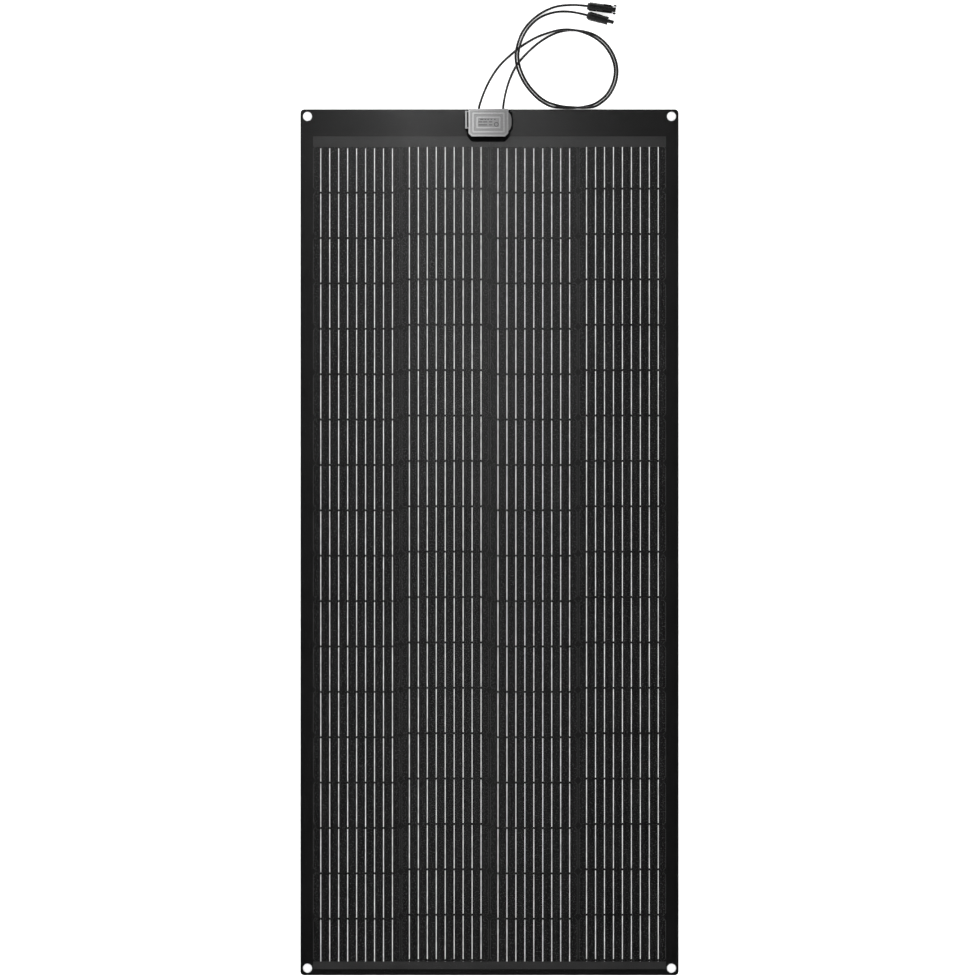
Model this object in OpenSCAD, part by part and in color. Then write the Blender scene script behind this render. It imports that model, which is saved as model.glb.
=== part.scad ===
// A flexible solar sheet lying flat: laminate, corner eyelets, junction box, two free cables and connectors.
// X runs across the sheet, Y along it towards the junction box, and Z up from the sheet's back face.

/* [Sheet] */
// Width of the sheet
sheet_w = 690; // [670:5:710]
// Length of the sheet
sheet_l = 1580; // [1570:5:1600]
// Radius of the sheet's corners
corner_r = 7; // [5:0.5:8]
// Thickness of the back sheet
back_t = 1.4; // [1.2:0.1:2]
// Thickness of the encapsulant behind the cells
rear_bond_t = 0.5; // [0.4:0.1:0.8]
// Thickness of the encapsulant in front of the cells
front_bond_t = 0.8; // [0.8:0.1:1.2]
// Thickness of the clear front film
film_t = 0.3; // [0.2:0.05:0.5]

/* [Cells] */
// Width of a half cell
cell_w = 158.75; // [156:0.25:159]
// Height of a half cell
cell_h = 79.4; // [78:0.1:79.5]
// Gap between strings
string_gap = 2.9; // [2.5:0.1:4]
// Gap between the cells of a string
row_gap = 3.4; // [3:0.1:3.5]
// Chamfer on a cell's corners
cell_chamfer = 5; // [2:0.5:8]
// Distance of the cells' middle from the sheet's middle, away from the junction box
cells_shift = 20.8; // [20:0.2:21]

/* [Ribbons] */
// Distance from ribbon to ribbon
ribbon_pitch = 16.35; // [15:0.05:17]
// Width of a ribbon
ribbon_w = 1.5; // [0.8:0.1:2.4]
// Distance of a ribbon's free end from the cell's edge
free_end = 4; // [2:0.5:6]
// Width of a bus ribbon
bus_w = 4; // [3:0.5:5]

/* [Eyelets] */
// Distance of an eyelet from the sheet's edges
eyelet_inset = 13; // [12:0.5:16]
// Radius of an eyelet's hole
eyelet_hole_r = 5; // [3:0.5:5]
// Radius of an eyelet's flange
eyelet_flange_r = 8.25; // [7.5:0.25:9]

/* [Junction box] */
// Distance of the box's middle from the sheet's middle, to the left
box_shift = 2; // [0:1:4]
// Width of the lid
lid_w = 73; // [73:1:76]
// Length of the lid
lid_l = 50.5; // [50:0.5:54]
// Height of the base's wall above the sheet
wall_h = 14; // [13.5:0.5:18]
// Thickness of the box's walls
wall_t = 2; // [1.6:0.2:2.4]

/* [Connectors] */
// Largest radius of a connector's nut
nut_r = 8.2; // [8:0.1:8.2]

/* [Hidden] */
$fn = 48;
eps = 0.01;

// Fixed counts and stock sizes
strings = 4;
rows = 18;
ribbons = 9;
cell_t = 0.2;
ribbon_t = 0.2;
cable_d = 4.4;

// Heights of the laminate's layers
cell_z = back_t + rear_bond_t;
ribbon_z = cell_z + cell_t;
strip_z = ribbon_z + ribbon_t;
strip_t = 0.2;
film_z = cell_z + front_bond_t;
sheet_t = film_z + film_t;

// The field of cells
string_pitch = cell_w + string_gap;
row_pitch = cell_h + row_gap;
field_w = strings * cell_w + (strings - 1) * string_gap;
field_l = rows * cell_h + (rows - 1) * row_gap;
field_top = field_l / 2 - cells_shift;
field_bottom = -field_l / 2 - cells_shift;
strip_overlap = 1.5;
top_strip_l = 18;
bottom_strip_l = 14.5;
rear_run = 70;
link_inset = 3.5;
ribbon_reach = (ribbons - 1) / 2 * ribbon_pitch + 2;
bus_inset = 11.5;
lead_y = 752;
bus_lead_w = 5;

// Eyelets
barrel_t = 0.5;
washer_t = 0.6;
eyelet_x = sheet_w / 2 - eyelet_inset;
eyelet_y = sheet_l / 2 - eyelet_inset;

// Junction box
exit_z = 10.5;
pad_t = 0.8;
flange_t = 2;
flange_z = sheet_t + pad_t;
floor_z = flange_z + flange_t;
wall_top = sheet_t + wall_h;
lid_y = sheet_l / 2 - lid_l / 2;
lid_chamfer = 6;
lid_top_chamfer = 1.5;
skirt_t = 1.2;
lid_fit = 0.3;
wall_inset = skirt_t + lid_fit;
gasket_t = 0.5;
lid_z = wall_top + gasket_t + 0.1;
lid_plate_t = 0.8;
lid_top = lid_z + lid_plate_t;
skirt_z = exit_z + 4.5;
step_h = 0.5;
left_exit_x = -19;
right_exit_x = 25;
middle_x = 3;
crimp_end_y = 774;
window = [[-26, 748], [32, 756]];

// Connectors
nut_l = 17;
collar_r = 6.4;
contact_u = 12;
coupler_turn = -7.5;
plug_turn = -15;
nose_r = 3.5;
nose_root_r = nose_r + 0.2;
barrel_r = 4.9;
barrel_tip_r = 4.6;
barrel_u = 52.5;
connector_r = 8;
arm_r = 7.9;
web_y = 7.4;
web_t = 0.8;
coupler_at = [178.3, 977.7, connector_r + 0.05];
plug_at = [177.9, 961, connector_r + 0.05];
cable_r = cable_d / 2;

// Routes of the cables, from the box to the connectors
left_route = [
    [-19, 774, 10.5], [-19, 793, 10.5], [-16, 804, 9.6], [-9, 823, 6.4], [1, 844, 3], [17, 868, 2.3],
    [36, 887, 2.3], [59, 905.5, 2.3], [86, 921.5, 2.3], [110, 930.2, 4], [128, 934.5, 6.8],
    [147, 935, 7.2], [168, 931, 7.1], [190, 921.5, 5], [209, 906.5, 2.3], [222.5, 886, 2.3],
    [228.5, 863, 2.3], [225, 839, 2.3], [213, 816.5, 2.3], [202.5, 807, 2.3], [191.5, 800, 2.3],
    [174, 795, 2.3], [155, 792.7, 2.3], [134, 792.6, 2.3], [113.5, 795, 2.3], [100, 801, 2.3],
    [86, 811, 2.3], [65, 835, 2.9], [51, 864, 7], [47.5, 886, 7.1], [51.5, 910, 7], [59.5, 930, 4.6],
    [73.8, 949.2, 2.3], [95, 966, 2.3], [120, 977, 2.3], [144, 980, 4],
    coupler_at + along(-12, coupler_turn), coupler_at + along(contact_u, coupler_turn)
];
right_route = [
    [25, 774, 10.5], [25, 793, 10.5], [26.5, 805, 9.7], [31, 826, 6], [38, 847.5, 3], [49, 869.5, 2.3],
    [67, 891, 2.3], [90, 911.5, 2.3], [114, 926, 2.3], [130, 931.7, 2.3], [147, 934.2, 2.3],
    [170, 932.5, 2.3], [192.5, 925.5, 2.3], [212.5, 910, 2.3], [227, 888, 2.3], [233.3, 863, 2.3],
    [230, 837.5, 2.3], [217, 813.5, 2.3], [205.5, 803, 2.8], [193, 795.3, 5], [175.5, 792.5, 7],
    [155, 793.2, 7.2], [134, 795, 7], [115.5, 799.5, 5], [102.5, 805.1, 2.8], [89, 815, 2.3],
    [69, 838, 2.9], [56, 865.5, 7], [52.4, 887, 7.1], [56.5, 909.5, 7], [64.2, 928, 4.6],
    [77.2, 945.3, 2.3], [95, 959, 2.3], [120, 967.2, 2.3], [144, 968, 4],
    plug_at + along(-12, plug_turn), plug_at + along(contact_u, plug_turn)
];

// A step of length u along a connector that is turned about the vertical
function along(u, turn) = [u * cos(turn), u * sin(turn), 0];
function unit(v) = v / norm(v);
function tangent(p, i) = unit(p[min(i + 1, len(p) - 1)] - p[max(i - 1, 0)]);
function ring(p, i, r, sides) =
    let (t = tangent(p, i), side = unit(cross(t, [0, 0, 1])), up = cross(side, t))
    [for (k = [0 : sides - 1]) p[i] + r * (cos(360 * k / sides) * side + sin(360 * k / sides) * up)];

// Tube of radius r with a ring at each point of a route
module tube(route, r, sides = 10) {
    last = len(route) - 1;
    points = [for (i = [0 : last]) each ring(route, i, r, sides)];
    walls = [for (i = [0 : last - 1], k = [0 : sides - 1])
        let (a = i * sides + k, b = i * sides + (k + 1) % sides)
        each [[a, b, b + sides], [a, b + sides, a + sides]]];
    start_cap = [[for (k = [sides - 1 : -1 : 0]) k]];
    end_cap = [[for (k = [0 : sides - 1]) last * sides + k]];
    polyhedron(concat(points), concat(walls, start_cap, end_cap));
}

// Rectangle with round corners, centred
module rounded_plate_2d(w, l, r) {
    square([w - 2 * r, l], center = true);
    square([w, l - 2 * r], center = true);
    for (x = [-1, 1], y = [-1, 1])
        translate([x * (w / 2 - r), y * (l / 2 - r)])
            circle(r);
}

// One copy of the children at each corner eyelet
module at_eyelets() {
    for (x = [-1, 1], y = [-1, 1])
        translate([x * eyelet_x, y * eyelet_y, 0])
            children();
}

// A layer of the laminate with the eyelets' holes
module layer(z, t) {
    translate([0, 0, z])
        difference() {
            linear_extrude(t)
                rounded_plate_2d(sheet_w, sheet_l, corner_r);
            at_eyelets()
                translate([0, 0, -1])
                    cylinder(h = t + 2, r = eyelet_hole_r + barrel_t + 0.05);
        }
}

// Box between two corners in plan, from z up by h
module block(low, high, z, h) {
    translate([low[0], low[1], z])
        cube([high[0] - low[0], high[1] - low[1], h]);
}

// Space that each string takes in the encapsulants, from the top strip's bus to the bottom one
module string_pockets(z, h) {
    for (s = [0 : strings - 1])
        block([string_x(s) - cell_w / 2, field_bottom - bottom_strip_l],
              [string_x(s) + cell_w / 2, field_top + top_strip_l], z, h);
}

function string_x(s) = (s - (strings - 1) / 2) * string_pitch;

module back_sheet() {
    color([0.05, 0.05, 0.055])
        difference() {
            layer(0, back_t);
            at_eyelets()
                translate([0, 0, -1])
                    cylinder(h = washer_t + 1, r = eyelet_flange_r + 0.1);
        }
}

module rear_encapsulant() {
    color([0.08, 0.08, 0.08])
        difference() {
            layer(back_t, rear_bond_t);
            string_pockets(cell_z - ribbon_t, ribbon_t + 1);
        }
}

// Outline of a half cell with its corners cut off
module cell_2d() {
    x = cell_w / 2;
    y = cell_h / 2;
    c = cell_chamfer;
    polygon([[-x, c - y], [c - x, -y], [x - c, -y], [x, c - y],
             [x, y - c], [x - c, y], [c - x, y], [-x, y - c]]);
}

function row_y(r) = field_top - cell_h / 2 - r * row_pitch;

module cell_string(s) {
    color([0.09, 0.09, 0.11])
        for (r = [0 : rows - 1])
            translate([string_x(s), row_y(r), cell_z])
                linear_extrude(cell_t)
                    cell_2d();
}

// Side outline of a link that runs over one cell, dips through the gap and runs under the next
module link_2d(r) {
    start = row_y(r) + cell_h / 2 - free_end;
    edge = row_y(r) - cell_h / 2;
    next = edge - row_gap;
    polygon([[start, ribbon_z], [start, ribbon_z + ribbon_t], [edge - 0.4, ribbon_z + ribbon_t],
             [next + 0.5, cell_z], [next - rear_run, cell_z], [next - rear_run, cell_z - ribbon_t],
             [next + 0.7, cell_z - ribbon_t], [edge - 0.1, ribbon_z]]);
}

// Stretch of flat ribbon along Y between two places
module run_2d(y0, y1, z) {
    translate([y0, z])
        square([y1 - y0, ribbon_t]);
}

// All links of one string, for strings whose front runs lead downwards
module ribbon_links() {
    last_y = row_y(rows - 1);
    for (i = [0 : ribbons - 1])
        translate([(i - (ribbons - 1) / 2) * ribbon_pitch - ribbon_w / 2, 0, 0])
            rotate([90, 0, 90]) {
                for (r = [0 : rows - 2])
                    linear_extrude(ribbon_w)
                        link_2d(r);
                linear_extrude(ribbon_w)
                    run_2d(field_bottom - link_inset - bus_w, last_y + cell_h / 2 - free_end, ribbon_z);
                linear_extrude(ribbon_w)
                    run_2d(field_top - rear_run, field_top + link_inset + bus_w, cell_z - ribbon_t);
            }
}

module cell_ribbons(s) {
    color([0.75, 0.76, 0.78])
        translate([string_x(s), 0, 0])
            if (s % 2 == 0)
                ribbon_links();
            else
                translate([0, -2 * cells_shift, 0])
                    mirror([0, 1, 0])
                        ribbon_links();
}

// Bus ribbon that joins two strings below the cells
module bottom_link(side) {
    inner = string_pitch / 2 - ribbon_reach;
    outer = string_pitch * 1.5 + ribbon_reach;
    y = field_bottom - link_inset - bus_w;
    color([0.75, 0.76, 0.78])
        if (side < 0)
            block([-outer, y], [-inner, y + bus_w], cell_z, ribbon_t);
        else
            block([inner, y], [outer, y + bus_w], cell_z, ribbon_t);
}

// Upright tab of a bus ribbon, up into the junction box
module lead_tab(x) {
    block([x - bus_lead_w / 2, lead_y - ribbon_t], [x + bus_lead_w / 2, lead_y],
          cell_z, floor_z + 1 - cell_z);
}

module top_link() {
    reach = string_pitch / 2 + ribbon_reach;
    y = field_top + link_inset;
    color([0.75, 0.76, 0.78]) {
        block([-reach, y], [reach, y + bus_w], cell_z, ribbon_t);
        block([middle_x - bus_lead_w / 2, y], [middle_x + bus_lead_w / 2, lead_y], cell_z, ribbon_t);
        lead_tab(middle_x);
    }
}

// Bus ribbon from an outer string to the junction box, with its tab at x
module side_bus(side, x) {
    inner = string_pitch * 1.5 - ribbon_reach;
    outer = string_pitch * 1.5 + ribbon_reach;
    step_x = inner - bus_lead_w;
    low_y = field_top + link_inset;
    high_y = field_top + bus_inset;
    color([0.75, 0.76, 0.78]) {
        block([min(side * step_x, side * outer), low_y], [max(side * step_x, side * outer), low_y + bus_w],
              cell_z, ribbon_t);
        block([min(side * step_x, side * inner), low_y], [max(side * step_x, side * inner), high_y + bus_w],
              cell_z, ribbon_t);
        block([min(side * step_x, x), high_y], [max(side * step_x, x), high_y + bus_w], cell_z, ribbon_t);
        block([x - bus_lead_w / 2, high_y], [x + bus_lead_w / 2, lead_y], cell_z, ribbon_t);
        lead_tab(x);
    }
}

module top_cover_strip() {
    color([0.2, 0.2, 0.2])
        block([-field_w / 2, field_top - strip_overlap], [field_w / 2, field_top + top_strip_l],
              strip_z, strip_t);
}

module bottom_cover_strip() {
    color([0.2, 0.2, 0.2])
        block([-field_w / 2, field_bottom - bottom_strip_l], [field_w / 2, field_bottom - 0.5],
              strip_z, strip_t);
}

// Way for the bus ribbons' tabs through the front layers
module lead_slot() {
    block([window[0][0] + 2, lead_y - 4], [window[1][0] - 2, lead_y + 2], film_z - 1, 3);
}

module front_encapsulant() {
    color([0.3, 0.3, 0.32, 0.5])
        difference() {
            layer(cell_z, front_bond_t);
            string_pockets(cell_z - 1, 1 + cell_t + ribbon_t);
            block([-field_w / 2, field_top - strip_overlap], [field_w / 2, field_top + top_strip_l],
                  cell_z - 1, 1 + cell_t + ribbon_t + strip_t);
            block([-field_w / 2, field_bottom - bottom_strip_l], [field_w / 2, field_bottom - 0.5],
                  cell_z - 1, 1 + cell_t + ribbon_t + strip_t);
            block([window[0][0] + 2, field_top + 1], [window[1][0] - 2, lead_y + 2], cell_z - 1, 1 + cell_t);
            lead_slot();
        }
}

module front_sheet() {
    color([0.3, 0.3, 0.32, 0.3])
        difference() {
            layer(film_z, film_t);
            lead_slot();
        }
}

module eyelets() {
    r = eyelet_hole_r;
    f = eyelet_flange_r;
    color([0.8, 0.8, 0.82])
        at_eyelets()
            rotate_extrude()
                polygon([[r, 0], [r + barrel_t, 0], [r + barrel_t, sheet_t], [f, sheet_t], [f, sheet_t + 0.3],
                         [f - 0.5, sheet_t + 0.7], [f - 1.6, sheet_t + 0.9], [r + 0.5, sheet_t + 0.8],
                         [r, sheet_t + 0.3]]);
}

module eyelet_washers() {
    color([0.7, 0.7, 0.72])
        at_eyelets()
            difference() {
                cylinder(h = washer_t, r = eyelet_flange_r);
                translate([0, 0, -1])
                    cylinder(h = washer_t + 2, r = eyelet_hole_r + barrel_t + 0.05);
            }
}

// Lid's outline drawn in by a distance, with its lower corners cut off
module lid_2d(inset) {
    x = lid_w / 2 - inset;
    y = lid_l / 2 - inset;
    c = max(lid_chamfer - 0.6 * inset, 1);
    t = lid_top_chamfer;
    translate([-box_shift, lid_y])
        polygon([[-x, c - y], [c - x, -y], [x - c, -y], [x, c - y],
                 [x, y - t], [x - t, y], [t - x, y], [-x, y - t]]);
}

// Base's flange in plan, drawn in by a distance: ears beside the clips and a lip below the lid
module flange_2d(inset) {
    low = sheet_l / 2 - 59 + inset;
    high = sheet_l / 2 - 0.5 - inset;
    ear = 44.5 - inset;
    side = 39.5 - inset;
    foot = 30.5 - inset;
    translate([-box_shift, 0])
        polygon([[-ear, high - 8], [-ear, high - 35], [-side, high - 42], [-side, low + 10], [-foot, low],
                 [foot, low], [side, low + 10], [side, high - 42], [ear, high - 35], [ear, high - 8],
                 [side, high - 3], [side, high], [-side, high], [-side, high - 3]]);
}

module window_cut() {
    block(window[0], window[1], flange_z - 2, flange_t + 4);
}

module junction_box_pad() {
    color([0.06, 0.06, 0.06])
        difference() {
            translate([0, 0, sheet_t])
                linear_extrude(pad_t)
                    flange_2d(1);
            window_cut();
        }
}

module junction_box_base() {
    catch_x = -box_shift - lid_w / 2;
    color([0.07, 0.07, 0.07])
        difference() {
            union() {
                translate([0, 0, flange_z])
                    linear_extrude(flange_t)
                        flange_2d(0);
                translate([0, 0, floor_z - eps])
                    linear_extrude(wall_top - floor_z + eps)
                        difference() {
                            lid_2d(wall_inset);
                            lid_2d(wall_inset + wall_t);
                        }
                block([catch_x - 1.4, lid_y - 4], [catch_x + wall_inset + eps, lid_y + 14], 8.5, 3.5);
            }
            window_cut();
            for (x = [left_exit_x, right_exit_x])
                translate([x, sheet_l / 2 - 10, exit_z])
                    rotate([-90, 0, 0])
                        cylinder(h = 20, r = 3.9);
        }
}

module junction_box_gasket() {
    color([0.15, 0.15, 0.15])
        translate([0, 0, wall_top])
            linear_extrude(gasket_t)
                difference() {
                    lid_2d(wall_inset + 0.2);
                    lid_2d(wall_inset + wall_t - 0.2);
                }
}

// Rim standing on the lid between two distances in from its edge
module lid_rim(outer, inner, h) {
    translate([0, 0, lid_top - eps])
        linear_extrude(h + eps)
            difference() {
                lid_2d(outer);
                lid_2d(inner);
            }
}

module junction_box_lid() {
    left_x = -box_shift - lid_w / 2;
    right_x = -box_shift + lid_w / 2;
    clip_z = 7;
    clip_h = lid_z - clip_z;
    color([0.55, 0.55, 0.56]) {
        difference() {
            translate([0, 0, skirt_z])
                linear_extrude(lid_top - skirt_z)
                    lid_2d(0);
            translate([0, 0, skirt_z - 1])
                linear_extrude(lid_z - skirt_z + 1)
                    lid_2d(skirt_t);
        }
        lid_rim(0.9, 3, step_h);
        lid_rim(7, 9.8, 2 * step_h);
        lid_rim(14.5, 17, 2 * step_h);
        block([left_x - 5.9, lid_y - 10.5], [left_x - 2.3, lid_y + 21.5], clip_z, clip_h);
        for (y = [-10.5, 19.5])
            block([left_x - 2.4, lid_y + y], [left_x + 0.1, lid_y + y + 2], skirt_z, lid_z - skirt_z);
        translate([right_x, lid_y, clip_z])
            linear_extrude(clip_h)
                polygon([[0, 18.5], [3.5, 15], [5.5, 8], [5.8, 2], [5.5, -4], [3.5, -11], [0, -14.5]]);
    }
}

// Plate on the box's floor with a slot for its tab, and two uprights for the diodes' leads
module terminal_plate(x) {
    difference() {
        block([x - 5, lead_y - 4], [x + 5, lead_y + 12], floor_z + 0.2, 0.8);
        block([x - bus_lead_w / 2 - 0.1, lead_y - ribbon_t - 0.1], [x + bus_lead_w / 2 + 0.1, lead_y + 0.1],
              floor_z - 1, 3);
    }
    for (side = [-1, 1])
        block([x + side * 4.6 - 0.4, lead_y + 5], [x + side * 4.6 + 0.4, lead_y + 9], floor_z + 0.9, 4);
}

// Terminal with a crimp barrel that meets the end of a cable
module end_terminal(x) {
    color([0.8, 0.65, 0.4]) {
        terminal_plate(x);
        block([x - 1.5, lead_y + 11], [x + 1.5, lead_y + 12], floor_z + 0.9, exit_z - floor_z - 0.5);
        translate([x, lead_y + 11, exit_z])
            rotate([-90, 0, 0])
                cylinder(h = crimp_end_y - lead_y - 11, r = 2.3);
    }
}

module middle_terminal() {
    color([0.8, 0.65, 0.4])
        terminal_plate(middle_x);
}

// Diode between two terminals, body and both leads on one axis
module diode(x0, x1) {
    y = lead_y + 7;
    z = floor_z + 3.1;
    middle = (x0 + x1) / 2;
    translate([middle - 4, y, z])
        rotate([0, 90, 0])
            cylinder(h = 8, r = 2.4);
    translate([x0, y, z])
        rotate([0, 90, 0])
            cylinder(h = x1 - x0, r = 0.6);
}

module bypass_diodes() {
    color([0.1, 0.1, 0.1]) {
        diode(left_exit_x + 5, middle_x - 5);
        diode(middle_x + 5, right_exit_x - 5);
    }
}

// Seal in the box's wall with a flange on each side
module cable_seal(x) {
    wall_y = sheet_l / 2 - wall_inset;
    color([0.12, 0.12, 0.12])
        translate([x, 0, exit_z])
            rotate([-90, 0, 0])
                difference() {
                    union() {
                        translate([0, 0, wall_y - wall_t - 1])
                            cylinder(h = 1, r = 4.4);
                        translate([0, 0, wall_y - wall_t - eps])
                            cylinder(h = wall_t + 2 * eps, r = 3.85);
                        translate([0, 0, wall_y])
                            cylinder(h = 1, r = 4.4);
                    }
                    translate([0, 0, wall_y - 10])
                        cylinder(h = 20, r = cable_r + 0.05);
                }
}

module cable(route) {
    color([0.05, 0.05, 0.05])
        tube(route, cable_r);
}

// The children lie along +X from a connector's cable end
module at_connector(place, turn) {
    translate(place)
        rotate([0, 0, turn])
            children();
}

// Solid of revolution about +X from an outline in length and radius
module lathe(outline) {
    rotate([90, 0, 90])
        rotate_extrude()
            polygon([for (p = outline) [p[1], p[0]]]);
}

// Gland nut: cone at the cable's end, twelve-sided grip, cavity over the housing's collar
module gland_nut() {
    color([0.04, 0.04, 0.04])
        difference() {
            union() {
                rotate([0, 90, 0])
                    cylinder(h = 4.5, r1 = 5.6, r2 = nut_r * cos(15));
                translate([4.5 - eps, 0, 0])
                    rotate([0, 90, 0])
                        rotate([0, 0, 15])
                            cylinder(h = nut_l - 4.5, r = nut_r, $fn = 12);
            }
            translate([-1, 0, 0])
                rotate([0, 90, 0])
                    cylinder(h = 10, r = cable_r + 0.5);
            translate([3, 0, 0])
                rotate([0, 90, 0])
                    cylinder(h = nut_l, r = collar_r + 0.1);
        }
}

// Clamp ring with slots between its fingers, inside the nut
module clamp_ring() {
    color([0.2, 0.2, 0.2])
        difference() {
            lathe([[3.4, cable_r + 0.3], [3.4, 6], [7.6, 6], [7.6, cable_r + 0.3]]);
            for (a = [0 : 60 : 300])
                rotate([a, 0, 0])
                    translate([3, -0.6, cable_r + 0.8])
                        cube([3.2, 1.2, 5]);
        }
}

module sleeve_seal() {
    color([0.35, 0.1, 0.08])
        lathe([[8.2, cable_r + 0.05], [8.2, 4.5], [11.8, 4.5], [11.8, cable_r + 0.05]]);
}

// Housing with a collar for the nut, a barrel around the contact, and a web below the latch arms
module coupler_housing() {
    color([0.04, 0.04, 0.04]) {
        lathe([[8, 4.6], [8, collar_r], [nut_l + 0.3, collar_r], [nut_l + 0.3, arm_r], [28.6, arm_r],
               [28.6, barrel_r], [43.5, barrel_r], [43.5, barrel_tip_r], [barrel_u, barrel_tip_r],
               [barrel_u, nose_r + 0.1], [26, nose_r + 0.1], [26, 3.05], [18, 3.05], [18, 4.6]]);
        for (side = [-1, 1])
            block([28.6 - eps, min(side * 1.5, side * web_y)], [46, max(side * 1.5, side * web_y)],
                  -4.5, web_t);
    }
}

// Latch arm on the side given by 1 or -1, with its hooked tip
module latch_arm(side) {
    color([0.04, 0.04, 0.04])
        translate([0, 0, -3.2])
            linear_extrude(6.4)
                polygon([for (p = [[29, 5.5], [29, arm_r], [42.6, arm_r], [43.6, 6.9], [47.4, 6.8],
                                   [48.4, 8.5], [49.4, 8.8], [52.2, 8.7], [53.2, 7.6], [53.2, 5.5]])
                    [p[0], side * p[1]]]);
}

// Pin contact with the crimp barrel that meets the cable
module coupler_pin() {
    color([0.8, 0.8, 0.82])
        lathe([[contact_u, 0], [contact_u, 2.8], [19, 2.8], [19, 3], [21, 3], [21, 2],
               [32.5, 2], [34, 1.2], [34, 0]]);
}

// Housing with a collar for the nut, an outer sleeve with a window on each side, and a slim nose
module plug_housing() {
    color([0.04, 0.04, 0.04])
        difference() {
            lathe([[8, 4.6], [8, collar_r], [nut_l + 0.3, collar_r], [nut_l + 0.3, connector_r],
                   [22, connector_r], [39.5, 7.6], [39.5, 5.8], [24, 5.8], [24, nose_root_r],
                   [39.5, nose_root_r], [39.5, nose_r], [50.4, nose_r], [50.4, 2.7], [18, 2.7],
                   [18, 4.6]]);
            for (side = [-1, 1])
                translate([30.5, side * 7, 0])
                    cube([7, 5, 6.8], center = true);
        }
}

// Socket contact with the crimp barrel that meets the cable
module plug_socket() {
    color([0.8, 0.8, 0.82])
        lathe([[contact_u, 0], [contact_u, 2.8], [17.8, 2.8], [17.8, 2.6], [49, 2.6], [49, 2.05],
               [30, 2.05], [30, 0]]);
}

module plug_o_ring() {
    color([0.5, 0.1, 0.08])
        translate([25.2, 0, 0])
            rotate([0, 90, 0])
                rotate_extrude()
                    translate([nose_root_r + 0.9, 0])
                        circle(0.85);
}

back_sheet();
rear_encapsulant();
cell_string(0);  // cell_string_1
cell_string(1);  // cell_string_2
cell_string(2);  // cell_string_3
cell_string(3);  // cell_string_4
cell_ribbons(0);  // cell_ribbons_1
cell_ribbons(1);  // cell_ribbons_2
cell_ribbons(2);  // cell_ribbons_3
cell_ribbons(3);  // cell_ribbons_4
bottom_link(-1);  // bottom_link_left
bottom_link(1);  // bottom_link_right
top_link();
side_bus(-1, left_exit_x);  // left_bus
side_bus(1, right_exit_x);  // right_bus
top_cover_strip();
bottom_cover_strip();
front_encapsulant();
front_sheet();
eyelets();
eyelet_washers();
junction_box_pad();
junction_box_base();
junction_box_gasket();
junction_box_lid();
end_terminal(left_exit_x);  // left_terminal
middle_terminal();
end_terminal(right_exit_x);  // right_terminal
bypass_diodes();
cable_seal(left_exit_x);  // left_cable_seal
cable_seal(right_exit_x);  // right_cable_seal
cable(left_route);  // left_cable
cable(right_route);  // right_cable
at_connector(coupler_at, coupler_turn) gland_nut();  // coupler_nut
at_connector(coupler_at, coupler_turn) coupler_housing();
at_connector(coupler_at, coupler_turn) latch_arm(1);  // coupler_latch_left
at_connector(coupler_at, coupler_turn) latch_arm(-1);  // coupler_latch_right
at_connector(coupler_at, coupler_turn) coupler_pin();
at_connector(coupler_at, coupler_turn) sleeve_seal();  // coupler_seal
at_connector(coupler_at, coupler_turn) clamp_ring();  // coupler_clamp
at_connector(plug_at, plug_turn) gland_nut();  // plug_nut
at_connector(plug_at, plug_turn) plug_housing();
at_connector(plug_at, plug_turn) plug_socket();
at_connector(plug_at, plug_turn) sleeve_seal();  // plug_seal
at_connector(plug_at, plug_turn) clamp_ring();  // plug_clamp
at_connector(plug_at, plug_turn) plug_o_ring();
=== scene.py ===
import math

import bmesh
import bpy
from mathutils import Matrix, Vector


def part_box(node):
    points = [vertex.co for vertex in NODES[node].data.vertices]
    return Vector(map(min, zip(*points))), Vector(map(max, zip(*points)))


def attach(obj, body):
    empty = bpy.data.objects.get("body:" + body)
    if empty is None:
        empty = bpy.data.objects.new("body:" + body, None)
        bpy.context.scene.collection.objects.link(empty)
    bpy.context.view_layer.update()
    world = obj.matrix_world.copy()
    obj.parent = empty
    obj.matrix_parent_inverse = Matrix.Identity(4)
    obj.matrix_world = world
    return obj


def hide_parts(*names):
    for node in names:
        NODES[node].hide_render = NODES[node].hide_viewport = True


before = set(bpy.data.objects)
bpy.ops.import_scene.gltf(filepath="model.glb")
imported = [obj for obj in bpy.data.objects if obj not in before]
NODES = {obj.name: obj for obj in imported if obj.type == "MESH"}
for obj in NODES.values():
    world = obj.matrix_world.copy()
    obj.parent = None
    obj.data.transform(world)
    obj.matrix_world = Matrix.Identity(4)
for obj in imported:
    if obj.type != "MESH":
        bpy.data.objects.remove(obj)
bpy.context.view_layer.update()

MM = 0.001
STRING_PITCH = 161.65 * MM
ROW_PITCH = 82.8 * MM
ROW_EDGE = -766.0 * MM      # y of the middle of the row gap that would follow the last row
CORNER_SUM = 8.15 * MM      # a cut corner's distance from the string gap's middle plus the row gap's
CABLE_D = 4.4 * MM


# ---------------------------------------------------------------- camera

SEEN_CENTRE = (0.0009, 0.0954)
SEEN_WIDTH = 1.7885         # what the picture spans on the floor
LENS = 200
SENSOR = 36


def add_camera():
    """Looks straight down on the sheet, with the junction box at the top of the picture."""
    data = bpy.data.cameras.new("camera")
    data.lens = LENS
    data.sensor_width = SENSOR
    camera = bpy.data.objects.new("camera", data)
    camera.location = (*SEEN_CENTRE, SEEN_WIDTH * LENS / SENSOR)
    bpy.context.scene.collection.objects.link(camera)
    bpy.context.scene.camera = camera


# ---------------------------------------------------------------- node helpers

def grey(level):
    return (level, level, level)


def new_material(name):
    mat = bpy.data.materials.new(name)
    mat.use_nodes = True
    mat.node_tree.nodes.clear()
    return mat


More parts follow.
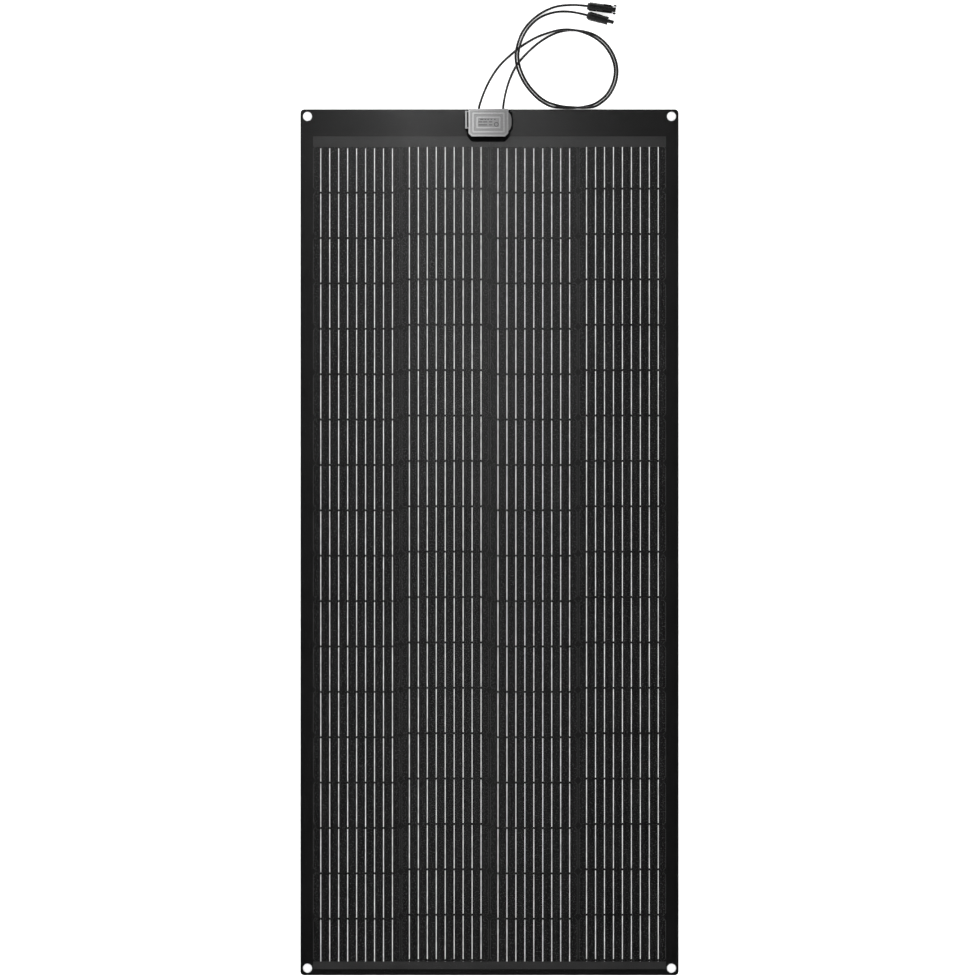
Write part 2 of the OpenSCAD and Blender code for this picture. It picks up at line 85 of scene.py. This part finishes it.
def add_node(mat, kind, values=None, **settings):
    """A node with its settings, and its inputs set to numbers or linked to sockets."""
    made = mat.node_tree.nodes.new(kind)
    for key, value in settings.items():
        setattr(made, key, value)
    for key, value in (values or {}).items():
        if isinstance(value, bpy.types.NodeSocket):
            mat.node_tree.links.new(value, made.inputs[key])
        else:
            made.inputs[key].default_value = value
    return made


def place_of(mat):
    """Each point's place in the shared frame at rest, in metres."""
    return add_node(mat, "ShaderNodeTexCoord").outputs["Object"]


def axes_of(mat, where):
    """The sockets X, Y and Z of a place."""
    return add_node(mat, "ShaderNodeSeparateXYZ", {0: where}).outputs


def stretched(mat, where, scale):
    """A place with each axis scaled, for a pattern drawn out along one of them."""
    return add_node(mat, "ShaderNodeVectorMath", {0: where, 1: scale}, operation="MULTIPLY").outputs[0]


def math_of(mat, kind, first, second):
    return add_node(mat, "ShaderNodeMath", {0: first, 1: second}, operation=kind).outputs[0]


def noise_of(mat, where, scale, detail, roughness=0.5):
    values = {"Vector": where, "Scale": scale, "Detail": detail, "Roughness": roughness}
    return add_node(mat, "ShaderNodeTexNoise", values).outputs["Fac"]


def range_of(mat, value, low, high, start=0.0, end=1.0):
    """Takes the range start to end to the range low to high, and stops there."""
    values = {"Value": value, "From Min": start, "From Max": end, "To Min": low, "To Max": high}
    return add_node(mat, "ShaderNodeMapRange", values).outputs["Result"]


def blend_of(mat, factor, low, high):
    """Colour between two, by a factor."""
    made = add_node(mat, "ShaderNodeMix", data_type="RGBA")
    for index, value in ((0, factor), (6, low), (7, high)):
        if isinstance(value, bpy.types.NodeSocket):
            mat.node_tree.links.new(value, made.inputs[index])
        else:
            made.inputs[index].default_value = (*value, 1)
    return made.outputs[2]


def bump_of(mat, height, depth, strength=1.0):
    values = {"Height": height, "Distance": depth, "Strength": strength}
    return add_node(mat, "ShaderNodeBump", values).outputs["Normal"]


def finish_material(mat, shader):
    made = add_node(mat, "ShaderNodeOutputMaterial")
    mat.node_tree.links.new(shader, made.inputs["Surface"])
    return mat


def finish_solid(mat, values):
    """Finishes the material of an opaque surface."""
    return finish_material(mat, add_node(mat, "ShaderNodeBsdfPrincipled", values).outputs[0])


# ---------------------------------------------------------------- materials

def moulded(name, dark, light, roughness, grain=2600, grain_depth=0.06 * MM, shine=0.5, coat=0.0):
    """Moulded plastic or rubber: fine grain, and slow changes of colour and shine."""
    mat = new_material(name)
    where = place_of(mat)
    slow = noise_of(mat, where, 90, 4)
    return finish_solid(mat, {
        "Base Color": blend_of(mat, slow, dark, light),
        "Roughness": range_of(mat, slow, roughness - 0.06, roughness + 0.06, 0.3, 0.7),
        "Specular IOR Level": shine,
        "Normal": bump_of(mat, noise_of(mat, where, grain, 3), grain_depth),
        "Coat Weight": coat,
        "Coat Roughness": 0.12,
    })


def lid_material():
    """Grey lid plastic, mottled by a rough mould, with painted light: a painted gradient from a lit pale
    tone on the left to a shaded dull tone on the right, the plate below the rims darkened as painted
    shade so that the rim tops stand out as painted highlights, and a painted shade on the right-hand
    strap.
    """
    mat = new_material("lid_plastic")
    where = place_of(mat)
    axes = axes_of(mat, where)
    mottle = noise_of(mat, where, 380, 3, 0.6)
    # Painted light: the lit tone for the left of the lid and the shaded tone for its right, each
    # mottled.
    lit_left_tone = blend_of(mat, mottle, (0.34, 0.34, 0.342), (0.56, 0.56, 0.563))
    shaded_right_tone = blend_of(mat, mottle, (0.13, 0.13, 0.131), (0.26, 0.26, 0.261))
    # Painted light: a gradient across the lid, from the lit tone at the left to the shaded tone at the
    # right.
    painted_light_across = range_of(mat, axes["X"], 0.0, 1.0, -40 * MM, 36 * MM)
    # Painted shade: the plate below the rims is darkened, which leaves the rim tops as painted highlight
    # lines.
    painted_recess_shade = range_of(mat, axes["Z"], 0.42, 0.0, 18.45 * MM, 18.9 * MM)
    plate = blend_of(mat, painted_recess_shade, blend_of(mat, painted_light_across, lit_left_tone, shaded_right_tone), (0.10, 0.10, 0.101))
    # Painted shade: the right-hand strap, from 34.5 mm out, is darkened as if it were turned away from
    # the light.
    painted_strap_shade = range_of(mat, axes["X"], 0.0, 0.55, 34.5 * MM, 36 * MM)
    return finish_solid(mat, {
        "Base Color": blend_of(mat, painted_strap_shade, plate, (0.06, 0.06, 0.061)),
        "Roughness": range_of(mat, mottle, 0.45, 0.6),
        "Specular IOR Level": 0.4,
        "Normal": bump_of(mat, noise_of(mat, where, 2200, 3), 0.08 * MM),
    })


def metal(name, dark, light, roughness, metallic=1.0):
    """Plated metal with faint drawn scratches and worn patches."""
    mat = new_material(name)
    where = place_of(mat)
    scratches = noise_of(mat, stretched(mat, where, (900, 40, 900)), 1, 3)
    worn = noise_of(mat, where, 160, 4)
    return finish_solid(mat, {
        "Base Color": blend_of(mat, worn, dark, light),
        "Metallic": metallic,
        "Roughness": range_of(mat, worn, roughness - 0.07, roughness + 0.09, 0.3, 0.7),
        "Normal": bump_of(mat, scratches, 0.03 * MM),
    })


def cell_material():
    """Dark silicon: printed fingers, streaks along the cell, a little grain, paler edges."""
    mat = new_material("cell_silicon")
    where = place_of(mat)
    axes = axes_of(mat, where)

    between_fingers = math_of(mat, "PINGPONG", axes["Y"], 1.4 * MM)
    finger = range_of(mat, between_fingers, 0.3, 0.0, 0.04 * MM, 0.14 * MM)

    from_gap = math_of(mat, "PINGPONG", axes["X"], STRING_PITCH / 2)
    side = range_of(mat, from_gap, 0.8, 0.0, 1.7 * MM, 2.7 * MM)
    from_row_edge = math_of(mat, "SUBTRACT", axes["Y"], ROW_EDGE)
    from_end = math_of(mat, "PINGPONG", from_row_edge, ROW_PITCH / 2)
    from_corner = math_of(mat, "ADD", from_gap, from_end)
    cut_corner = range_of(mat, from_corner, 1.0, 0.0, CORNER_SUM, CORNER_SUM + 1.2 * MM)
    edge = math_of(mat, "MAXIMUM", side, cut_corner)

    drawn = stretched(mat, where, (300, 5, 1))
    streak = range_of(mat, noise_of(mat, drawn, 1, 3, 0.6), 0.0, 1.0, 0.3, 0.7)
    grain = range_of(mat, noise_of(mat, where, 420, 2), 0.0, 0.9, 0.54, 0.72)
    silicon = blend_of(mat, grain, blend_of(mat, streak, grey(0.0004), grey(0.0085)), grey(0.048))
    printed = blend_of(mat, finger, silicon, grey(0.007))
    return finish_solid(mat, {
        "Base Color": blend_of(mat, edge, printed, grey(0.050)),
        "Roughness": range_of(mat, streak, 0.4, 0.55),
        "Specular IOR Level": 0.02,
        "Normal": bump_of(mat, grain, 0.05 * MM),
    })


def ribbon_material():
    """Tinned copper ribbon, its solder a little uneven every few millimetres."""
    mat = new_material("ribbon_tin")
    where = place_of(mat)
    between_beads = math_of(mat, "PINGPONG", axes_of(mat, where)["Y"], 1.8 * MM)
    bead = range_of(mat, between_beads, 0.0, 1.0, 0.2 * MM, 1.6 * MM)
    patchy = range_of(mat, noise_of(mat, where, 60, 4, 0.7), 0.0, 1.0, 0.35, 0.65)
    tone = blend_of(mat, patchy, grey(0.58), grey(0.92))
    return finish_solid(mat, {
        "Base Color": blend_of(mat, range_of(mat, bead, 0.0, 0.3), tone, grey(0.40)),
        "Metallic": 0.15,
        "Roughness": range_of(mat, patchy, 0.45, 0.65),
        "Normal": bump_of(mat, bead, 0.06 * MM),
    })


def strip_material():
    """Matt black cover strip with a fine open weave."""
    mat = new_material("strip_weave")
    where = place_of(mat)
    axes = axes_of(mat, where)
    thread = 0.6 * MM
    weave = math_of(mat, "ADD", math_of(mat, "PINGPONG", axes["X"], thread),
                    math_of(mat, "PINGPONG", axes["Y"], thread))
    cloud = noise_of(mat, where, 30, 4)
    return finish_solid(mat, {
        "Base Color": blend_of(mat, cloud, grey(0.013), grey(0.027)),
        "Roughness": range_of(mat, cloud, 0.6, 0.8),
        "Specular IOR Level": 0.2,
        "Normal": bump_of(mat, weave, 0.4),
    })


def film_material():
    """Clear film with a fine dimpled emboss: the cells show through it and it adds a soft sheen."""
    mat = new_material("embossed_film")
    where = place_of(mat)
    dimples = {"Vector": where, "Scale": 640.0, "Randomness": 0.3}
    dimple = add_node(mat, "ShaderNodeTexVoronoi", dimples, voronoi_dimensions="2D").outputs["Distance"]
    ripple = math_of(mat, "MULTIPLY", noise_of(mat, where, 460, 2, 0.6), 1.1)
    relief = math_of(mat, "ADD", ripple, dimple)
    clear = add_node(mat, "ShaderNodeBsdfTransparent", {"Color": (0.98, 0.98, 0.98, 1)}).outputs[0]
    sheen = add_node(mat, "ShaderNodeBsdfGlossy", {
        "Color": (1, 1, 1, 1),
        "Roughness": range_of(mat, noise_of(mat, where, 9, 3), 0.20, 0.25, 0.3, 0.7),
        "Normal": bump_of(mat, relief, 0.05 * MM, 0.6),
    }).outputs[0]
    facing = add_node(mat, "ShaderNodeLayerWeight", {"Blend": 0.5}).outputs["Facing"]
    share = range_of(mat, math_of(mat, "POWER", facing, 5.0), 0.036, 0.5)
    both = add_node(mat, "ShaderNodeMixShader", {0: share, 1: clear, 2: sheen}).outputs[0]
    return finish_material(mat, both)


def film_underside_material():
    """Clear inside face of the film, where it lies over the cells."""
    mat = new_material("film_underside")
    haze = noise_of(mat, place_of(mat), 24, 3)
    tint = blend_of(mat, haze, grey(0.985), grey(0.995))
    return finish_material(mat, add_node(mat, "ShaderNodeBsdfTransparent", {"Color": tint}).outputs[0])


def floor_material():
    return finish_solid(new_material("pale_floor"), {
        "Base Color": (0.93, 0.93, 0.93, 1),
        "Roughness": 0.9,
        "Emission Color": (1, 1, 1, 1),
        "Emission Strength": 0.7,
    })


# ---------------------------------------------------------------- shapes

def link_object(name, data):
    made = bpy.data.objects.new(name, data)
    bpy.context.scene.collection.objects.link(made)
    return made


def mesh_object(name, bm):
    mesh = bpy.data.meshes.new(name)
    bm.to_mesh(mesh)
    bm.free()
    return link_object(name, mesh)


def add_piece(name, bm, mat, body):
    """A piece of the model that rides on a body, smooth but for its sharp edges."""
    piece = mesh_object(name, bm)
    piece.data.materials.append(mat)
    for face in piece.data.polygons:
        face.use_smooth = True
    piece.data.set_sharp_from_angle(angle=math.radians(35))
    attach(piece, body)
    return piece


def add_bevel(piece, width, sharper_than):
    """Rounds off the edges sharper than an angle in degrees."""
    bevel = piece.modifiers.new("bevel", "BEVEL")
    bevel.width = width
    bevel.segments = 2
    bevel.limit_method = "ANGLE"
    bevel.angle_limit = math.radians(sharper_than)


def apply_modifiers(piece):
    """Turns a piece's modifiers into its mesh."""
    graph = bpy.context.evaluated_depsgraph_get()
    done = bpy.data.meshes.new_from_object(piece.evaluated_get(graph), depsgraph=graph)
    piece.modifiers.clear()
    old = piece.data
    piece.data = done
    bpy.data.meshes.remove(old)


def softened(node, name, mat, body, width):
    """A copy of a CAD node with its sharp edges rounded off, which stands for it."""
    bm = bmesh.new()
    bm.from_mesh(NODES[node].data)
    bmesh.ops.remove_doubles(bm, verts=bm.verts, dist=0.001 * MM)
    bmesh.ops.dissolve_limit(bm, angle_limit=math.radians(1), verts=bm.verts, edges=bm.edges)
    piece = add_piece(name, bm, mat, body)
    add_bevel(piece, width, 32)
    even = piece.modifiers.new("even_normals", "WEIGHTED_NORMAL")
    even.keep_sharp = False
    apply_modifiers(piece)
    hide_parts(node)
    return piece


def paint(mat, *names):
    """Gives CAD nodes a material."""
    for name in names:
        data = NODES[name].data
        data.materials.clear()
        data.materials.append(mat)


# ---------------------------------------------------------------- cables

# Each connector's place in millimetres and its turn in degrees, as in part.scad
CONNECTORS = {"coupler": ((178.3, 977.7, 8.05), -7.5), "plug": ((177.9, 961.0, 8.05), -15.0)}


def on_connector(kind, u):
    """Point at a length u from a connector's place along its axis, in millimetres."""
    start, turn = CONNECTORS[kind]
    angle = math.radians(turn)
    return [start[0] + u * math.cos(angle), start[1] + u * math.sin(angle), start[2]]


LEFT_ROUTE = [
    [-19, 774, 10.5], [-19, 793, 10.5], [-16, 804, 9.6], [-9, 823, 6.4], [1, 844, 3], [17, 868, 2.3],
    [36, 887, 2.3], [59, 905.5, 2.3], [86, 921.5, 2.3], [110, 930.2, 4], [128, 934.5, 6.8],
    [147, 935, 7.2], [168, 931, 7.1], [190, 921.5, 5], [209, 906.5, 2.3], [222.5, 886, 2.3],
    [228.5, 863, 2.3], [225, 839, 2.3], [213, 816.5, 2.3], [202.5, 807, 2.3], [191.5, 800, 2.3],
    [174, 795, 2.3], [155, 792.7, 2.3], [134, 792.6, 2.3], [113.5, 795, 2.3], [100, 801, 2.3],
    [86, 811, 2.3], [65, 835, 2.9], [51, 864, 7], [47.5, 886, 7.1], [51.5, 910, 7], [59.5, 930, 4.6],
    [73.8, 949.2, 2.3], [95, 966, 2.3], [120, 977, 2.3], [144, 980, 4],
    on_connector("coupler", -12), on_connector("coupler", 12),
]
RIGHT_ROUTE = [
    [25, 774, 10.5], [25, 793, 10.5], [26.5, 805, 9.7], [31, 826, 6], [38, 847.5, 3], [49, 869.5, 2.3],
    [67, 891, 2.3], [90, 911.5, 2.3], [114, 926, 2.3], [130, 931.7, 2.3], [147, 934.2, 2.3],
    [170, 932.5, 2.3], [192.5, 925.5, 2.3], [212.5, 910, 2.3], [227, 888, 2.3], [233.3, 863, 2.3],
    [230, 837.5, 2.3], [217, 813.5, 2.3], [205.5, 803, 2.8], [193, 795.3, 5], [175.5, 792.5, 7],
    [155, 793.2, 7.2], [134, 795, 7], [115.5, 799.5, 5], [102.5, 805.1, 2.8], [89, 815, 2.3],
    [69, 838, 2.9], [56, 865.5, 7], [52.4, 887, 7.1], [56.5, 909.5, 7], [64.2, 928, 4.6],
    [77.2, 945.3, 2.3], [95, 959, 2.3], [120, 967.2, 2.3], [144, 968, 4],
    on_connector("plug", -12), on_connector("plug", 12),
]


def smooth_route(points, steps=8):
    """Centripetal Catmull-Rom curve through the points, kept off the floor."""
    lowest = CABLE_D / 2 + 0.02 * MM
    points = [Vector(p) * MM for p in points]
    ends = [points[0] * 2 - points[1], *points, points[-1] * 2 - points[-2]]
    curve = []
    for p0, p1, p2, p3 in zip(ends, ends[1:], ends[2:], ends[3:]):
        t1 = (p1 - p0).length ** 0.5
        t2 = t1 + (p2 - p1).length ** 0.5
        t3 = t2 + (p3 - p2).length ** 0.5
        for step in range(steps):
            t = t1 + (t2 - t1) * step / steps
            a1 = p0.lerp(p1, t / t1)
            a2 = p1.lerp(p2, (t - t1) / (t2 - t1))
            a3 = p2.lerp(p3, (t - t2) / (t3 - t2))
            b1 = a1.lerp(a2, t / t2)
            b2 = a2.lerp(a3, (t - t1) / (t3 - t1))
            point = b1.lerp(b2, (t - t1) / (t2 - t1))
            point.z = max(point.z, lowest)
            curve.append(point)
    curve.append(points[-1])
    return curve


def add_cable(name, route, mat):
    data = bpy.data.curves.new(name, "CURVE")
    data.dimensions = "3D"
    data.bevel_depth = CABLE_D / 2
    data.bevel_resolution = 6
    data.use_fill_caps = True
    points = smooth_route(route)
    spline = data.splines.new("POLY")
    spline.points.add(len(points) - 1)
    for target, point in zip(spline.points, points):
        target.co = (*point, 1)
    spline.use_smooth = True
    data.materials.append(mat)
    cable = link_object(name, data)
    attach(cable, "sheet")
    return cable


# ---------------------------------------------------------------- front film

FILM_CORNER_R = 7 * MM
FILM_LIFT = 0.02 * MM           # the film's underside, above that of the cells
HOLLOW_MARGIN = 0.5 * MM        # the hollow's room round the cover strips
HOLLOW_ROOM = 0.05 * MM         # the hollow's room above the cover strips
INSIDE_DEPTH = 0.3 * MM         # level faces at least this far below the top are inside ones
EYELET_R = 8.25 * MM
FILM_HOLE_R = 5.55 * MM


def rounded_outline(right, top, radius, steps=8):
    """Points round a rectangle with rounded corners, centred on the origin."""
    points = []
    for side_x, side_y, start in ((1, 1, 0), (-1, 1, 90), (-1, -1, 180), (1, -1, 270)):
        for step in range(steps + 1):
            angle = math.radians(start + 90 * step / steps)
            x = side_x * (right - radius) + radius * math.cos(angle)
            y = side_y * (top - radius) + radius * math.sin(angle)
            points.append((x, y))
    return points


def box_cutter(low, high):
    bm = bmesh.new()
    bmesh.ops.create_cube(bm, size=1)
    bmesh.ops.scale(bm, vec=high - low, verts=bm.verts)
    bmesh.ops.translate(bm, vec=(low + high) / 2, verts=bm.verts)
    return mesh_object("cutter", bm)


def round_cutter(x, y, radius):
    bm = bmesh.new()
    bmesh.ops.create_cone(bm, cap_ends=True, segments=48, radius1=radius, radius2=radius, depth=20 * MM)
    bmesh.ops.translate(bm, vec=(x, y, 0), verts=bm.verts)
    return mesh_object("cutter", bm)


def film_cutters():
    """A hollow over the cells and cover strips, and a hole at each eyelet."""
    strip_low, strip_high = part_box("bottom_cover_strip")
    top_strip_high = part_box("top_cover_strip")[1]
    hollow_low = Vector((strip_low.x - HOLLOW_MARGIN, strip_low.y - HOLLOW_MARGIN, 0))
    hollow_high = Vector((strip_high.x + HOLLOW_MARGIN, top_strip_high.y + HOLLOW_MARGIN,
                          strip_high.z + HOLLOW_ROOM))
    cutters = [box_cutter(hollow_low, hollow_high)]
    low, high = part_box("eyelets")
    for x in (low.x + EYELET_R, high.x - EYELET_R):
        for y in (low.y + EYELET_R, high.y - EYELET_R):
            cutters.append(round_cutter(x, y, FILM_HOLE_R))
    return cutters


def add_front_film(mat, inner_mat):
    """The film and the clear layer under it as one body, hollow over the cells."""
    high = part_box("front_sheet")[1]
    base_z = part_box("cell_string_1")[0].z + FILM_LIFT
    bm = bmesh.new()
    outline = [bm.verts.new((x, y, base_z)) for x, y in rounded_outline(high.x, high.y, FILM_CORNER_R)]
    made = bmesh.ops.extrude_face_region(bm, geom=[bm.faces.new(outline)])
    raised = [v for v in made["geom"] if isinstance(v, bmesh.types.BMVert)]
    bmesh.ops.translate(bm, vec=(0, 0, high.z - base_z), verts=raised)
    bmesh.ops.recalc_face_normals(bm, faces=bm.faces)
    film = add_piece("front_film", bm, mat, "sheet")

    cutters = film_cutters()
    for cutter in cutters:
        cut = film.modifiers.new("cut", "BOOLEAN")
        cut.operation = "DIFFERENCE"
        cut.solver = "EXACT"
        cut.object = cutter
    apply_modifiers(film)
    for cutter in cutters:
        bpy.data.objects.remove(cutter)
    add_bevel(film, 0.25 * MM, 50)
    apply_modifiers(film)

    film.data.materials.append(inner_mat)
    for face in film.data.polygons:
        face.use_smooth = False
        level = abs(face.normal.z) > 0.5
        if level and face.center.z < high.z - INSIDE_DEPTH:
            face.material_index = 1
    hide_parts("front_sheet", "front_encapsulant")


# ---------------------------------------------------------------- lid marks

LID_RIM_H = 1.0 * MM        # the highest rims, above the lid's plate
# Each row of bars: its y, and each bar's left and right end, in millimetres
BAR_ROWS = (
    (770.5, ((-17, -11), (-9, -6), (-4, -1), (2, 5), (8, 11))),
    (766, ((-20, -13), (-12, -4), (-1, 5))),
    (760.5, ((-20, -4), (-1, 5))),
)
BAR_WIDTH = 1.7 * MM
BAR_THICKNESS = 0.3 * MM
BAR_LIFT = 0.05 * MM        # a bar's middle, above the lid's plate
RING_CENTRE = (12.5 * MM, 761.5 * MM)
RING_PROFILE = ((4.2, 0), (4.0, 0.2), (3.0, 0.2), (2.8, 0))     # radius and height, in millimetres
RING_STEPS = 40


def add_lid_marks(mat):
    """Plain bars and a ring moulded on the lid where its rating would be."""
    plate_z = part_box("junction_box_lid")[1].z - LID_RIM_H
    bm = bmesh.new()
    for y, bars in BAR_ROWS:
        for left, right in bars:
            bar = bmesh.ops.create_cube(bm, size=1)["verts"]
            middle = ((left + right) / 2 * MM, y * MM, plate_z + BAR_LIFT)
            bmesh.ops.scale(bm, vec=((right - left) * MM, BAR_WIDTH, BAR_THICKNESS), verts=bar)
            bmesh.ops.translate(bm, vec=middle, verts=bar)
    bmesh.ops.bevel(bm, geom=bm.edges[:], offset=0.08 * MM, segments=1, affect="EDGES")

    centre = Vector((*RING_CENTRE, plate_z))
    spokes = []
    for step in range(RING_STEPS):
        turn = 2 * math.pi * step / RING_STEPS
        spots = [Vector((math.cos(turn) * r, math.sin(turn) * r, lift)) * MM for r, lift in RING_PROFILE]
        spokes.append([bm.verts.new(centre + spot) for spot in spots])
    for here, after in zip(spokes, spokes[1:] + spokes[:1]):
        for k in range(len(RING_PROFILE) - 1):
            bm.faces.new((here[k], after[k], after[k + 1], here[k + 1]))
    bmesh.ops.recalc_face_normals(bm, faces=bm.faces)
    marks = add_piece("lid_blank_marks", bm, mat, "lid")


# ---------------------------------------------------------------- light

LAMP_HEIGHT = 3.0
STRIP_WIDTH = 0.16
# Each strip light: its name, x, low and high y, and radiance
STRIPS = (
    ("top_strip", -0.05, 0.16, 0.80, 3.2),
    ("edge_strip", -0.08, 0.95, 1.25, 13.0),
    ("low_strip", -0.07, -0.95, 0.16, 1.2),
)
KEY_PLACE = (-1.8, 2.6)
KEY_AIM = (0.1, 0.8, 0)
KEY_SIZE = 0.8
KEY_RADIANCE = 20
FLOOR_HALF = 9              # half of a side
FLOOR_GAP = 0.3 * MM        # keeps the floor clear of the sheet's underside


def add_lamp(name, x, y, width, depth, radiance):
    """Area light that faces down and that the camera doesn't see."""
    data = bpy.data.lights.new(name, "AREA")
    data.shape = "RECTANGLE"
    data.size = width
    data.size_y = depth
    data.energy = radiance * math.pi * width * depth
    lamp = link_object(name, data)
    lamp.location = (x, y, LAMP_HEIGHT)
    lamp.visible_camera = False
    return lamp


def add_lights():
    """Strips that show as a sheen on the sheet, and a soft box for the rounded parts."""
    for name, x, low_y, high_y, radiance in STRIPS:
        add_lamp(name, x, (low_y + high_y) / 2, STRIP_WIDTH, high_y - low_y, radiance)
    key = add_lamp("key", *KEY_PLACE, KEY_SIZE, KEY_SIZE, KEY_RADIANCE)
    key.rotation_euler = (Vector(KEY_AIM) - key.location).to_track_quat("-Z", "Y").to_euler()


def add_dome():
    """Studio surroundings: bright all round low down, dark overhead, and dimmer in reflections."""
    world = bpy.data.worlds.new("world")
    bpy.context.scene.world = world
    world.use_nodes = True
    direction = add_node(world, "ShaderNodeTexCoord").outputs["Generated"]
    glow = range_of(world, axes_of(world, direction)["Z"], 2.4, 0.01, 0.62, 0.78)
    reflected = add_node(world, "ShaderNodeLightPath").outputs["Is Glossy Ray"]
    strength = math_of(world, "MULTIPLY", glow, range_of(world, reflected, 1.0, 0.25))
    sky = world.node_tree.nodes["Background"]
    sky.inputs["Color"].default_value = (1, 1, 1, 1)
    world.node_tree.links.new(strength, sky.inputs["Strength"])


def add_stage():
    bm = bmesh.new()
    bmesh.ops.create_grid(bm, x_segments=1, y_segments=1, size=FLOOR_HALF)
    floor = mesh_object("floor", bm)
    floor.location.z = -FLOOR_GAP
    floor.data.materials.append(floor_material())
    add_dome()
    add_lights()
    bpy.context.scene.view_settings.view_transform = "Standard"


# ---------------------------------------------------------------- the whole scene

add_camera()
jacket = moulded("cable_jacket", grey(0.002), grey(0.006), 0.30, 1500, 0.03 * MM, 0.45)
left_cable = add_cable("left_cable_jacket", LEFT_ROUTE, jacket)
right_cable = add_cable("right_cable_jacket", RIGHT_ROUTE, jacket)
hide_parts("left_cable")
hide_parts("right_cable")

gloss_black = moulded("connector_plastic", grey(0.002), grey(0.006), 0.22, 1400, 0.05 * MM, 0.4, 0.25)
matt_black = moulded("box_plastic", grey(0.001), grey(0.003), 0.6, shine=0.06)
rubber = moulded("seal_rubber", grey(0.010), grey(0.018), 0.7, 1400)
red_rubber = moulded("red_seal_rubber", (0.24, 0.02, 0.015), (0.36, 0.04, 0.03), 0.6, 1400)
black_bond = moulded("black_bond", grey(0.001), grey(0.003), 0.5, 900, 0.04 * MM, 0.1)
composite = moulded("back_composite", grey(0.003), grey(0.007), 0.55, 1800, 0.08 * MM, 0.2)
plating = metal("satin_plating", (0.84, 0.84, 0.85), (0.94, 0.94, 0.94), 0.35, metallic=0.35)
nickel = metal("nickel_plate", (0.70, 0.70, 0.71), (0.86, 0.86, 0.86), 0.25)
brass = metal("tinned_brass", (0.62, 0.50, 0.30), (0.78, 0.66, 0.42), 0.35)
tin = ribbon_material()

paint(cell_material(), *[f"cell_string_{n}" for n in (1, 2, 3, 4)])
paint(tin, *[f"cell_ribbons_{n}" for n in (1, 2, 3, 4)])
paint(tin, "bottom_link_left", "bottom_link_right", "top_link", "left_bus", "right_bus")
paint(strip_material(), "top_cover_strip", "bottom_cover_strip")
paint(composite, "back_sheet")
paint(black_bond, "rear_encapsulant")
paint(nickel, "eyelet_washers", "coupler_pin", "plug_socket")
paint(brass, "left_terminal", "middle_terminal", "right_terminal")
paint(rubber, "junction_box_pad", "junction_box_gasket", "left_cable_seal", "right_cable_seal")
paint(red_rubber, "coupler_seal", "plug_seal", "plug_o_ring")
paint(matt_black, "bypass_diodes")

add_front_film(film_material(), film_underside_material())

# Each softened shell: CAD node, name, material, body, width of its rounded edges in mm, and slot
SHELLS = (
    ("eyelets", "eyelets_plated", plating, "sheet", 0.15, "eyelet_metal"),
    ("junction_box_base", "box_base_shell", matt_black, "sheet", 0.5, "black_moulding"),
    ("junction_box_lid", "box_lid_shell", lid_material(), "lid", 0.8, "grey_moulding"),
    ("coupler_nut", "coupler_nut_shell", gloss_black, "coupler_nut", 0.25, "connector_moulding"),
    ("plug_nut", "plug_nut_shell", gloss_black, "plug_nut", 0.25, "connector_moulding"),
    ("coupler_housing", "coupler_shell", gloss_black, "sheet", 0.2, "connector_moulding"),
    ("plug_housing", "plug_shell", gloss_black, "sheet", 0.2, "connector_moulding"),
    ("coupler_latch_left", "latch_left_shell", gloss_black, "latch_left", 0.3, "connector_moulding"),
    ("coupler_latch_right", "latch_right_shell", gloss_black, "latch_right", 0.3, "connector_moulding"),
    ("coupler_clamp", "coupler_clamp_ring", gloss_black, "sheet", 0.1, "connector_moulding"),
    ("plug_clamp", "plug_clamp_ring", gloss_black, "sheet", 0.1, "connector_moulding"),
)
for node, name, mat, body, width, slot in SHELLS:
    softened(node, name, mat, body, width * MM)

add_lid_marks(moulded("lid_marks", grey(0.05), grey(0.09), 0.5))

add_stage()
